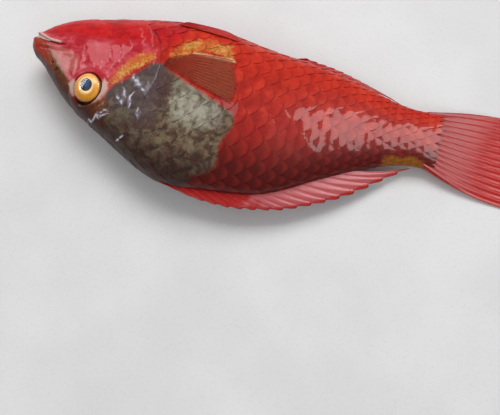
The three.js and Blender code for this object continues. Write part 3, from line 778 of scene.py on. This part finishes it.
def fin_material(name, root, tip, edge, alpha, ray_shade, sheen=None):
    """Thin wet fin skin between its rays, with a painted sheen, pale and streaky, where sheen is given."""
    paint = Paint(name)
    spot = paint.millimetres()
    fine, wide = paint.noise(spot, 1.2, 4, 0.65), paint.noise(spot, 6, 3)
    run, ray, rim = paint.attribute("fin_run"), paint.attribute("fin_ray"), paint.attribute("fin_rim")
    colour = paint.blend((run + (wide - 0.5) * 0.6).within(0.1, 0.95), root, tip)
    colour = paint.blend(fine.within(0.5, 0.75) * 0.4, colour, edge)
    colour = paint.blend(ray.within(0.45, 0.95) * (0.15 + wide * 0.35), colour, ray_shade)
    if sheen:
        # A painted reflection of the sky, pale pink and streaky, on the hind part of the membrane.
        behind = paint.attribute("along") + (wide - 0.5) * 30 + (fine - 0.5) * 12
        off_root = (run + (wide - 0.5) * 0.2).within(0.06, 0.16)
        off_tip = (1 - run + (fine - 0.5) * 0.3).within(0.12, 0.2)
        wet = behind.within(152, 166) * off_root * off_tip
        colour = paint.blend(wet * (0.35 + fine * 0.5), colour, sheen)
    colour = paint.blend(rim.within(0.93, 0.995) * 0.6, colour, edge)
    normal = paint.bump(fine, 0.25, 0.0002)
    thick = ray.within(0.2, 0.9)
    return paint.finish(
        Base_Color=colour, Roughness=0.4 + (fine - 0.5) * 0.2, Normal=normal,
        Alpha=(thick * (1 - alpha) * 0.5 + alpha) if alpha < 1 else 1.0,
        Coat_Weight=0.9, Coat_Roughness=0.16, Coat_IOR=1.2, Specular_IOR_Level=0.1, Subsurface_Weight=0.15,
        Subsurface_Radius=(0.003, 0.001, 0.0008), Subsurface_Scale=0.3)


def skin_mesh(material):
    """One skin over head, trunk and tail stalk."""
    around = SKIN_AROUND
    s = np.concatenate([
        NOSE_ROUNDING * (1 - np.cos(np.linspace(0.04, math.pi / 2, 26))),
        np.arange(NOSE_ROUNDING + 0.35, 66, 0.36), np.arange(66, 92, 0.5),
        np.arange(92.2, BODY_LENGTH + 1, 1.2),
    ])
    angle = np.linspace(0, 2 * math.pi, around, endpoint=False)
    grid_s, grid_a = np.meshgrid(s, angle, indexing="ij")
    points, normals = skin_point(grid_s, grid_a), skin_normal(grid_s, grid_a)
    ps, pd = points[..., 0], points[..., 1]
    lift = head_lift(ps, pd)
    detail, fold, gape = head_detail(ps, pd)
    points = points + normals * (lift + detail)[..., None]
    marks = flank_marks(ps, pd)
    marks.update(fold=fold, gape=gape)
    nose_cap = ring_cap(0, around)[:, ::-1]
    tail_cap = ring_cap((len(s) - 1) * around, around)
    faces = np.concatenate([grid_faces(len(s), around, closed=True), nose_cap, tail_cap])
    return add_mesh("skin", place(points), faces, marks, material)


def scale_columns():
    """Where each column of scales starts, and how long its scales are."""
    columns, s = [], FIRST_SCALE
    while s < BODY_LENGTH + 1:
        step = float(mix(*SCALE_STEPS, ease((s - 100) / 140)))
        columns.append((s, step))
        s += step
    return columns


def scale_middle(row, column):
    """The angle round the body of a scale's middle line. Every second column is set half a scale on."""
    return (row + column % 2 / 2) / SCALE_ROWS * 2 * math.pi


def scale_patch(s0, step, row, column, draw):
    """The grid of one scale: how far along and across it each point lies, and where on the body."""
    ends = np.linspace(0, 1, SCALE_GRID), np.linspace(-1, 1, SCALE_GRID)
    run, across = np.meshgrid(*ends, indexing="ij")
    length = step * SCALE_LENGTH * draw.uniform(0.96, 1.05)
    half = math.pi / SCALE_ROWS * SCALE_BREADTH
    narrow = 1 - 0.22 * (2 * run - 1) ** 2
    angle = scale_middle(row, column) + across * half * narrow
    s = s0 - step * 0.9 + run * length * (1 - 0.36 * across ** 2)
    return run, across, s, angle


def on_the_head(s0, step, row, column):
    """Whether a scale would lie on the bare head, in front of the gill cover's edge and the nape."""
    d = float(skin_point(np.array(s0 + 0.2 * step), np.array(scale_middle(row, column)))[1])
    edge = float(gill_at(clamp(d, -40, 80))) - 24 * float(ease((d - 44) / 12))
    return s0 + step * 0.35 < edge


def scale_coat(material):
    """Scales over the trunk and the tail stalk, in columns that overlap towards the tail."""
    draw = np.random.default_rng(11)
    scales = []
    for column, (s0, step) in enumerate(scale_columns()):
        for row in range(SCALE_ROWS):
            patch = scale_patch(s0, step, row, column, draw)
            tilt, twist, own = draw.normal(0, 0.04), draw.normal(0, 0.04), draw.uniform(0, 1)
            if not on_the_head(s0, step, row, column):
                scales.append((*patch, tilt, twist, own))
    run, across, s, angle = (np.stack([scale[k] for scale in scales]) for k in range(4))
    tilt, twist, own = (np.array([scale[k] for scale in scales])[:, None, None] for k in (4, 5, 6))
    points, normals = skin_point(s, angle), skin_normal(s, angle)
    d = points[..., 1]
    rise = -0.2 + 0.42 * ease(run / 0.6) + (0.16 + tilt) * clamp((run - 0.45) / 0.55)
    lift = rise * mix(0.35, 1, ease(np.abs(np.sin(angle)) * 3))
    lift += across * twist
    lift += 0.11 * (1 - across ** 2)
    lift += undulation(s, d)
    marks = flank_marks(s, d)
    marks.update(scale_run=run, scale_side=across, scale_own=own + 0 * run)
    points = points + normals * lift[..., None]
    made = []
    for part in range(COAT_PIECES):
        first, end = part * len(scales) // COAT_PIECES, (part + 1) * len(scales) // COAT_PIECES
        here = slice(first, end)
        coat = coat_piece(f"scales_{part + 1}", points[here], normals[here],
                          {key: value[here] for key, value in marks.items()}, material)
        add_unwrap(coat, s[here], angle[here], run[here], across[here])
        made.append(coat)
    return made


def coat_piece(name, points, normals, marks, material):
    """Some of the scales as one piece: the top of each, and a skirt down from its edge. The skirt has
    points of its own, so that the edge is sharp."""
    count, per = len(points), SCALE_GRID ** 2
    rim = grid_rim(SCALE_GRID, SCALE_GRID)
    edge = points.reshape(count, per, 3)[:, rim]
    under = (points - normals * SCALE_THICKNESS).reshape(count, per, 3)[:, rim]
    tops = grid_faces(SCALE_GRID, SCALE_GRID)[None] + (np.arange(count) * per)[:, None, None]
    ring = np.arange(len(rim))
    after = np.roll(ring, -1)
    start = count * per
    low = start + count * len(rim)
    skirt = np.stack([start + ring, low + ring, low + after, start + after], -1)
    skirts = skirt[None] + (np.arange(count) * len(rim))[:, None, None]
    values = {}
    for key, value in marks.items():
        value = value.reshape(count, per)
        rim_value = value[:, rim].ravel()
        values[key] = np.concatenate([value.ravel(), rim_value, rim_value])
    flat = np.concatenate([part.reshape(-1, 3) for part in (points, edge, under)])
    faces = np.concatenate([tops.reshape(-1, 4), skirts.reshape(-1, 4)])
    return add_mesh(name, place(flat), faces, values, material)


def add_unwrap(coat, s, angle, run, across):
    """The map OFBake: each scale is a small patch at its root's place on the unrolled skin."""
    patch = 0.003
    rim = grid_rim(SCALE_GRID, SCALE_GRID)
    root_s = s[:, :1, :].mean(axis=(1, 2), keepdims=True)
    root_a = angle.mean(axis=(1, 2), keepdims=True)
    u = 0.02 + 0.96 * clamp(root_s / 270) + (run - 0.5) * patch
    v = 0.02 + 0.96 * clamp(root_a / (2 * math.pi + 0.3)) + (across - 0.5) * patch * 0.5
    flat = np.stack([u, v], -1).reshape(len(s), -1, 2)
    around = flat[:, rim].reshape(-1, 2)
    table = np.concatenate([flat.reshape(-1, 2), around, around])
    layer = coat.data.uv_layers.new(name="OFBake")
    index = np.empty(len(coat.data.loops), np.int32)
    coat.data.loops.foreach_get("vertex_index", index)
    layer.data.foreach_set("uv", table[index].astype(np.float32).ravel())


def fin_mesh(name, node, count, rays, normal, material, ray_half, web_half, notch, branch, steps=64):
    """A fin as a thin sheet with count rays. rays(x, t) gives the point at x, from 0 at the first ray on,
    and at t from root to tip, and normal(x, t) the direction across the sheet there."""
    x = np.linspace(0, count - 1, (count - 1) * BETWEEN_RAYS + 1)
    t = np.linspace(0, 1, steps)
    grid_x, grid_t = np.meshgrid(x, t, indexing="ij")
    phase = grid_x - np.round(grid_x)
    spread = branch * ease((grid_t - 0.35) / 0.5) * 0.5
    near = np.abs(np.abs(phase) - spread * 0.5)
    ray = ease(1 - near / mix(0.24, 0.2, grid_t))
    valley = 1 - notch * (1 - np.cos(2 * math.pi * grid_x)) / 2
    points = rays(grid_x, grid_t * valley)
    half = web_half(grid_t) + (ray_half(grid_t) - web_half(grid_t)) * ray
    edge = np.minimum(grid_x, count - 1 - grid_x)
    half = half * mix(0.35, 1, ease(edge / 0.25)) * mix(1, 0.4, ease((grid_t - 0.93) / 0.07))
    across = normal(grid_x, grid_t)
    top, under = points + across * half[..., None], points - across * half[..., None]
    run = grid_t * valley
    marks = {"fin_run": run, "fin_ray": ray, "fin_rim": grid_t, "along": points[..., 0]}
    marks = {key: np.concatenate([value.ravel(), value.ravel()]) for key, value in marks.items()}
    flat = np.concatenate([top.reshape(-1, 3), under.reshape(-1, 3)])
    made = add_mesh(name, place(flat), sheet_faces(*grid_x.shape), marks, material)
    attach(made, "root")
    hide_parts(node)
    return made


def mid_line_rays(outline, edge, side, roots, tips, count, droop, bow=0.05):
    """The rays of a fin of the mid line, laid back along the body."""
    def rays(x, t):
        share = x / (count - 1)
        s, tip_s = mix(*roots, share), mix(*tips, share)
        root, tip = np.stack([s, outline(s)], -1), np.stack([tip_s, edge(tip_s)], -1)
        length = np.linalg.norm(tip - root, axis=-1)
        start = root - (tip - root) * (2.5 / length)[..., None]
        start[..., 1] -= side * 1.2
        at = mix(start, tip, np.asarray(t)[..., None])
        rise = side * bow * length * np.sin(math.pi * t)
        pleat = 0.45 * np.sin(2 * math.pi * x) * t
        return np.stack([at[..., 0], at[..., 1] + rise, -droop * t * t * ease(share * 6) + pleat], -1)
    return rays


def tail_rays(x, t):
    """The spread rays of the tail fin."""
    v = x / (TAIL_RAYS - 1) * 2 - 1
    length = TAIL_LENGTH * (1 + 0.1 * v * v) + TAIL_OVERLAP
    turn = math.radians(TAIL_SPREAD) * v * (0.7 + 0.3 * np.cos(t * 2.2))
    s = BODY_LENGTH - TAIL_OVERLAP + np.cos(turn) * length * t
    d = TAIL_ROOT_LEVEL + v * TAIL_ROOT_HALF + np.sin(turn) * length * t
    w = 0.35 * np.sin(2 * math.pi * x) * t
    return np.stack([s, d, w], -1)


def pectoral_rays(side):
    """The rays of a pectoral fin folded back along the flank."""
    first, last = (np.array(ray, float) for ray in PECTORAL_RAYS)

    def rays(x, t):
        v = (x / (PECTORAL_COUNT - 1))[..., None]
        t = np.asarray(t)[..., None]
        root, bend, tip = (mix(first[k], last[k], v) for k in range(3))
        tip = tip + np.concatenate([3 * hump((v - 0.4) / 0.6), 0 * v], -1)
        at = root * (1 - t) ** 2 + bend * 2 * t * (1 - t) + tip * t * t
        s, d, t = at[..., 0], at[..., 1], t[..., 0]
        w = side * (flank_at(s, d) + SCALE_RISE + 0.5 + (1.2 * t * t if side > 0 else 0))
        if side < 0:
            w = np.maximum(w, 0.7 - mid_line_at(s))
        return np.stack([s, d, w], -1)
    return rays


def pelvic_rays(side):
    """The rays of a pelvic fin laid back along the belly."""
    def rays(x, t):
        v = x / (PELVIC_COUNT - 1)
        length = mix(*PELVIC_LENGTHS, v)
        lean = np.radians(mix(*PELVIC_LEANS, v))
        root_s, root_d = (mix(first, last, v) for first, last in zip(*PELVIC_ROOTS))
        s = root_s + np.cos(lean) * length * t
        d = root_d + np.sin(lean) * length * t
        out = np.maximum(3.5, flank_at(s, np.maximum(d, belly_at(s) + 1.5)) + 0.6) + 0.8
        return np.stack([s, d, side * out], -1)
    return rays


def same_way(*direction):
    """The same direction all over a fin."""
    return lambda x, t: np.broadcast_to(np.array(direction, float), (*np.shape(x), 3))


def taper(root, tip):
    """Half the thickness of a fin, from its root to its tip."""
    return lambda t: mix(root, tip, ease(t)) / 2


def tail_taper(tip, root, slope):
    """Half the thickness of the tail fin, which swells at its root to meet the stalk."""
    return lambda t: (tip + root * (1 - t) ** 5 + slope * (1 - t)) / 2


def build_fins():
    red = fin_material("red_fin_skin", shade(160, 18, 20), shade(186, 36, 32), shade(104, 12, 18), 1.0,
                       shade(206, 76, 64))
    # The dorsal fin's last colour is its painted sheen, a painted reflection of the sky.
    dorsal = fin_material("dorsal_fin_skin", shade(176, 24, 24), shade(196, 38, 36), shade(110, 10, 18), 1.0,
                          shade(214, 80, 70), shade(206, 122, 126))
    brown = fin_material("pale_fin_skin", shade(150, 50, 34), shade(146, 66, 36), shade(160, 46, 36), 0.28,
                         shade(186, 112, 70))
    straight_up = same_way(0, 0, 1)
    ray, web = taper(*FIN_THICKNESS["ray"]), taper(*FIN_THICKNESS["web"])
    fin_mesh("dorsal_fin_skin", "dorsal_fin", DORSAL_COUNT,
             mid_line_rays(back_at, dorsal_edge_at, 1, DORSAL_ROOTS, DORSAL_TIPS, DORSAL_COUNT,
                           DORSAL_DROOP),
             straight_up, dorsal, ray, web, notch=0.09, branch=0.6)
    fin_mesh("anal_fin_skin", "anal_fin", ANAL_COUNT,
             mid_line_rays(belly_at, anal_edge_at, -1, ANAL_ROOTS, ANAL_TIPS, ANAL_COUNT, ANAL_DROOP),
             straight_up, red, ray, web, notch=0.09, branch=0.6)
    fin_mesh("tail_fin_skin", "tail_fin", TAIL_RAYS, tail_rays, straight_up, red,
             tail_taper(0.8, 6, 0.6), tail_taper(0.5, 5.4, 0.5), notch=0.04, branch=0.9, steps=80)
    for side, name in ((1, "right"), (-1, "left")):
        fin_mesh(f"pectoral_fin_skin_{name}", f"pectoral_fin_{name}", PECTORAL_COUNT, pectoral_rays(side),
                 straight_up, brown, taper(1.2, 0.5), taper(0.5, 0.22), notch=0.025, branch=0.8)
        fin_mesh(f"pelvic_fin_skin_{name}", f"pelvic_fin_{name}", PELVIC_COUNT, pelvic_rays(side),
                 same_way(0, -0.5, side * 0.87), red, taper(1.5, 0.6), taper(0.7, 0.3), notch=0.08,
                 branch=0.6)


def lathe(name, profile, around, turn, material, shift=0.0):
    """A round piece from a profile of (radius, height) points in millimetres, set in place by a matrix.
    The narrower its rings are, the nearer they lie to shift on the second axis."""
    angle = np.linspace(0, 2 * math.pi, around, endpoint=False)
    profile = np.array(profile, float)
    drift = shift * clamp(1 - profile[:, 0] / profile[:, 0].max()) * (profile[:, 1] > 0)
    radius, height = profile[:, None, 0], profile[:, None, 1]
    rings = np.stack([
        radius * np.cos(angle), radius * np.sin(angle) + drift[:, None], height + 0 * angle], -1)
    flat = rings.reshape(-1, 3) / 1000
    turned = np.array([tuple(turn @ Vector(p)) for p in flat])
    values = {"ring": np.repeat(profile[:, 0], around), "lean": rings[..., 1].ravel()}
    return add_mesh(name, turned, grid_faces(len(profile), around, closed=True), values, material)


def iris_material():
    """A gold iris with a pale ring round a blue-black pupil."""
    paint = Paint("eye_iris")
    spot = paint.millimetres()
    ring, lean = paint.attribute("ring"), paint.attribute("lean")
    fine, wide = paint.noise(spot, 0.7, 4, 0.7), paint.noise(spot, 3, 3)
    gold = paint.tint(
        shade(216, 150, 78), ((lean + (wide - 0.5) * 5).within(-5, 3), shade(196, 132, 12)),
        (fine.within(0.5, 0.72) * 0.35, shade(176, 96, 12)))
    colour = paint.blend((ring + (fine - 0.5) * 0.6).within(4.3, 6), shade(236, 198, 140), gold)
    colour = paint.tint(
        colour, ((ring + (wide - 0.5) * 1.4).within(7.3, 8.6) * 0.8, shade(176, 96, 24)),
        (ring.within(8.2, 8.75), shade(60, 26, 18)))
    blue = paint.blend(wide.within(0.35, 0.65), shade(18, 22, 34), shade(60, 78, 110))
    colour = paint.blend(ring.within(3.55, 3.8), blue, colour)
    colour = paint.blend(ring.within(3.3, 3.6) * (3.95 - ring).within(0, 0.25), colour, shade(14, 10, 14))
    normal = paint.bump(fine, 0.3, 0.0002)
    return paint.finish(Base_Color=colour, Roughness=0.4, Normal=normal, Specular_IOR_Level=0.2)


def cornea_material():
    paint = Paint("eye_cornea")
    return paint.finish(Base_Color=(1, 1, 1), Roughness=0.02, IOR=1.25, Transmission_Weight=1.0)


def build_eyes():
    iris, cornea = iris_material(), cornea_material()
    s, d = EYE_PLACE
    for side, name in ((1, "right"), (-1, "left")):
        normal = flank_normal(s, d, side)
        out = Vector((normal[0], -normal[1], normal[2]))
        across = Vector((0, -1, 0))
        lean = (across - out * across.dot(out)).normalized()
        aside = lean.cross(out)
        centre = place([[s, d, side * (float(flank_at(s, d)) + 0.2)]])[0]
        turn = Matrix.Translation(Vector(centre)) @ Matrix((aside, lean, out)).transposed().to_4x4()
        steps = np.linspace(0, math.pi / 2, 24)
        top = EYE_BULGE * 1.12
        ball = [(EYE_RADIUS * math.cos(a), -EYE_DEPTH * math.sin(a)) for a in steps[::-1]]
        dome = [(EYE_RADIUS * math.cos(a), (top - 0.9) * math.sin(a) ** 1.3) for a in steps]
        cup = [(r, z - 0.5 * float(hump((r - PUPIL_RADIUS) / 0.8))) for r, z in dome]
        made = lathe(f"eye_ball_{name}", ball[:-1] + cup, 96, turn, iris, -PUPIL_SHIFT * 2)
        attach(made, "root")
        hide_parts(f"eye_{name}")
        shell = [(EYE_RADIUS * math.cos(a), 0.05 + top * math.sin(a)) for a in steps]
        inner = [(r * 0.985, z - 0.12) for r, z in shell[::-1]]
        glassy = lathe(f"eye_cornea_{name}", shell + inner + shell[:1], 96, turn, cornea)
        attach(glassy, "root")


def beak_material():
    paint = Paint("beak_ivory")
    spot = paint.millimetres()
    fine, wide = paint.noise(spot, 0.5, 3), paint.noise(spot, 2, 3)
    colour = paint.tint(
        shade(226, 196, 186), (wide.within(0.3, 0.7), shade(206, 160, 152)),
        (fine.within(0.5, 0.75) * 0.3, shade(176, 124, 116)))
    return paint.finish(Base_Color=colour, Roughness=0.25, Normal=paint.bump(fine, 0.3, 0.0002),
                        Coat_Weight=0.9, Coat_Roughness=0.05)


def build_beak(material):
    """The lower plate of the beak, bare in front, with the small knobs of its fused teeth."""
    along, up = 160, 26
    turn = np.linspace(-1, 1, along)
    rise = np.linspace(0, 1, up)
    grid_t, grid_u = np.meshgrid(turn, rise, indexing="ij")
    s = 0.25 + (BEAK_LENGTH - 0.4) * np.abs(grid_t) ** 2
    low = mouth_at(s) - 0.45 - bare_beak(s) - 1.2
    high = mouth_at(s) - 0.5
    d = mix(low, high, grid_u)
    w = np.sign(grid_t) * flank_at(s, d) * np.sqrt(clamp(np.abs(grid_t) / 0.12))
    points = np.stack([s, d, w], -1)
    centre = np.array([18, float(waist_at(18)), 0])
    inward = centre - points
    inward /= np.linalg.norm(inward, axis=-1, keepdims=True)
    knobs = 0.12 * np.abs(np.sin(grid_t * 26)) * ease(grid_u * 3)
    outer = points + inward * (BEAK_INSET - knobs)[..., None]
    inner = points + inward * BEAK_THICKNESS
    made = add_mesh("beak_plate", place(np.concatenate([outer.reshape(-1, 3), inner.reshape(-1, 3)])),
                    sheet_faces(along, up), None, material)
    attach(made, "root")
    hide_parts("beak_lower")


def build_floor():
    """A plain pale floor."""
    paint = Paint("pale_floor")
    spot = paint.millimetres()
    wide, fine = paint.noise(spot, 90, 3), paint.noise(spot, 1.5, 3)
    colour = paint.tint(
        shade(224, 222, 221), (wide.within(0.3, 0.7), shade(232, 231, 230)),
        (fine.within(0.5, 0.8) * 0.2, shade(190, 186, 182)))
    material = paint.finish(Base_Color=colour, Roughness=0.7, Specular_IOR_Level=0.0,
                            Normal=paint.bump(fine, 0.1, 0.0002))
    half = FLOOR_HALF
    corners = [(x, y, -FLOOR_DROP) for x, y in ((-half, -half), (half, -half), (half, half), (-half, half))]
    floor = add_mesh("floor", corners, [[0, 1, 2, 3]], None, material, False)


def aim_matrix(eye, target):
    return (target - eye).to_track_quat("-Z", "Y").to_matrix().to_4x4()


def build_camera():
    a, e = math.radians(VIEW_AZIMUTH), math.radians(VIEW_ELEVATION)
    back = Vector((math.sin(a) * math.cos(e), -math.cos(a) * math.cos(e), math.sin(e)))
    s, d = VIEW_AIM
    aim = Vector((s / 1000 + SHIFT_X, -d / 1000 + SHIFT_Y, VIEW_AIM_HEIGHT))
    eye = aim + back * VIEW_DISTANCE
    data = bpy.data.cameras.new("view")
    data.sensor_fit, data.angle = "HORIZONTAL", math.radians(VIEW_ANGLE)
    data.clip_start = 0.01
    camera = bpy.data.objects.new("view", data)
    camera.matrix_world = Matrix.Translation(eye) @ aim_matrix(eye, aim)
    bpy.context.scene.collection.objects.link(camera)
    bpy.context.scene.camera = camera


def add_light(name, azimuth, elevation, distance, size, strength, roll=0.0, centre=(0.02, 0, 0.02),
              glossy=True):
    """A rectangular lamp that looks at centre. Its strength is how bright its face is."""
    data = bpy.data.lights.new(name, "AREA")
    data.shape, data.size, data.size_y = "RECTANGLE", size[0], size[1]
    data.energy = math.pi * size[0] * size[1] * strength
    light = bpy.data.objects.new(name, data)
    a, e, r = math.radians(azimuth), math.radians(elevation), math.radians(roll)
    out = Vector((math.cos(e) * math.cos(a), math.cos(e) * math.sin(a), math.sin(e)))
    wide = (-out).cross(Vector((0, 0, 1))).normalized()
    high = wide.cross(-out)
    x = wide * math.cos(r) + high * math.sin(r)
    y = high * math.cos(r) - wide * math.sin(r)
    turn = Matrix((x, y, out)).transposed().to_4x4()
    light.matrix_world = Matrix.Translation(Vector(centre) + out * distance) @ turn
    light.visible_glossy, light.visible_diffuse = glossy, not glossy
    bpy.context.scene.collection.objects.link(light)


def fish_spot(s, d, w):
    """A point of fish space as a tuple in the frame."""
    return tuple(float(part) for part in place([[s, d, w - float(mid_line_at(s))]])[0])


def build_light():
    """Windows that show only in the gloss, lamps that don't, and a pale sky."""
    world = bpy.data.worlds.new("soft_room")
    world.use_nodes = True
    sky = world.node_tree.nodes["Background"].inputs
    sky["Color"].default_value = (0.92, 0.95, 1.0, 1)
    sky["Strength"].default_value = 0.32
    bpy.context.scene.world = world
    add_light("tail_window", azimuth=32.5, elevation=46.3, distance=0.963, size=(0.544, 0.545),
              strength=12.0, roll=185.9, centre=fish_spot(200, 10, 20))
    add_light("head_window", azimuth=177.1, elevation=36.3, distance=1.065, size=(0.691, 0.244),
              strength=11.0, roll=151.7, centre=fish_spot(27, 16, 30))
    add_light("high_window", azimuth=114.7, elevation=71.5, distance=1.055, size=(0.277, 0.357),
              strength=6.0, roll=151.1, centre=fish_spot(112, 27, 40))
    add_light("ceiling", azimuth=105, elevation=58, distance=1.2, size=(0.9, 0.7),
              strength=5.2, glossy=False)
    add_light("fill", azimuth=-70, elevation=50, distance=1.3, size=(1.0, 0.8),
              strength=1.6, glossy=False)
    bpy.context.scene.view_settings.view_transform = "Standard"


def main():
    skin = skin_mesh(skin_material())
    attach(skin, "root")
    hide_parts("head", "trunk", "tail_stalk")
    for coat in scale_coat(scale_material()):
        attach(coat, "root")
    build_fins()
    build_eyes()
    build_beak(beak_material())
    build_floor()
    build_camera()
    build_light()


main()
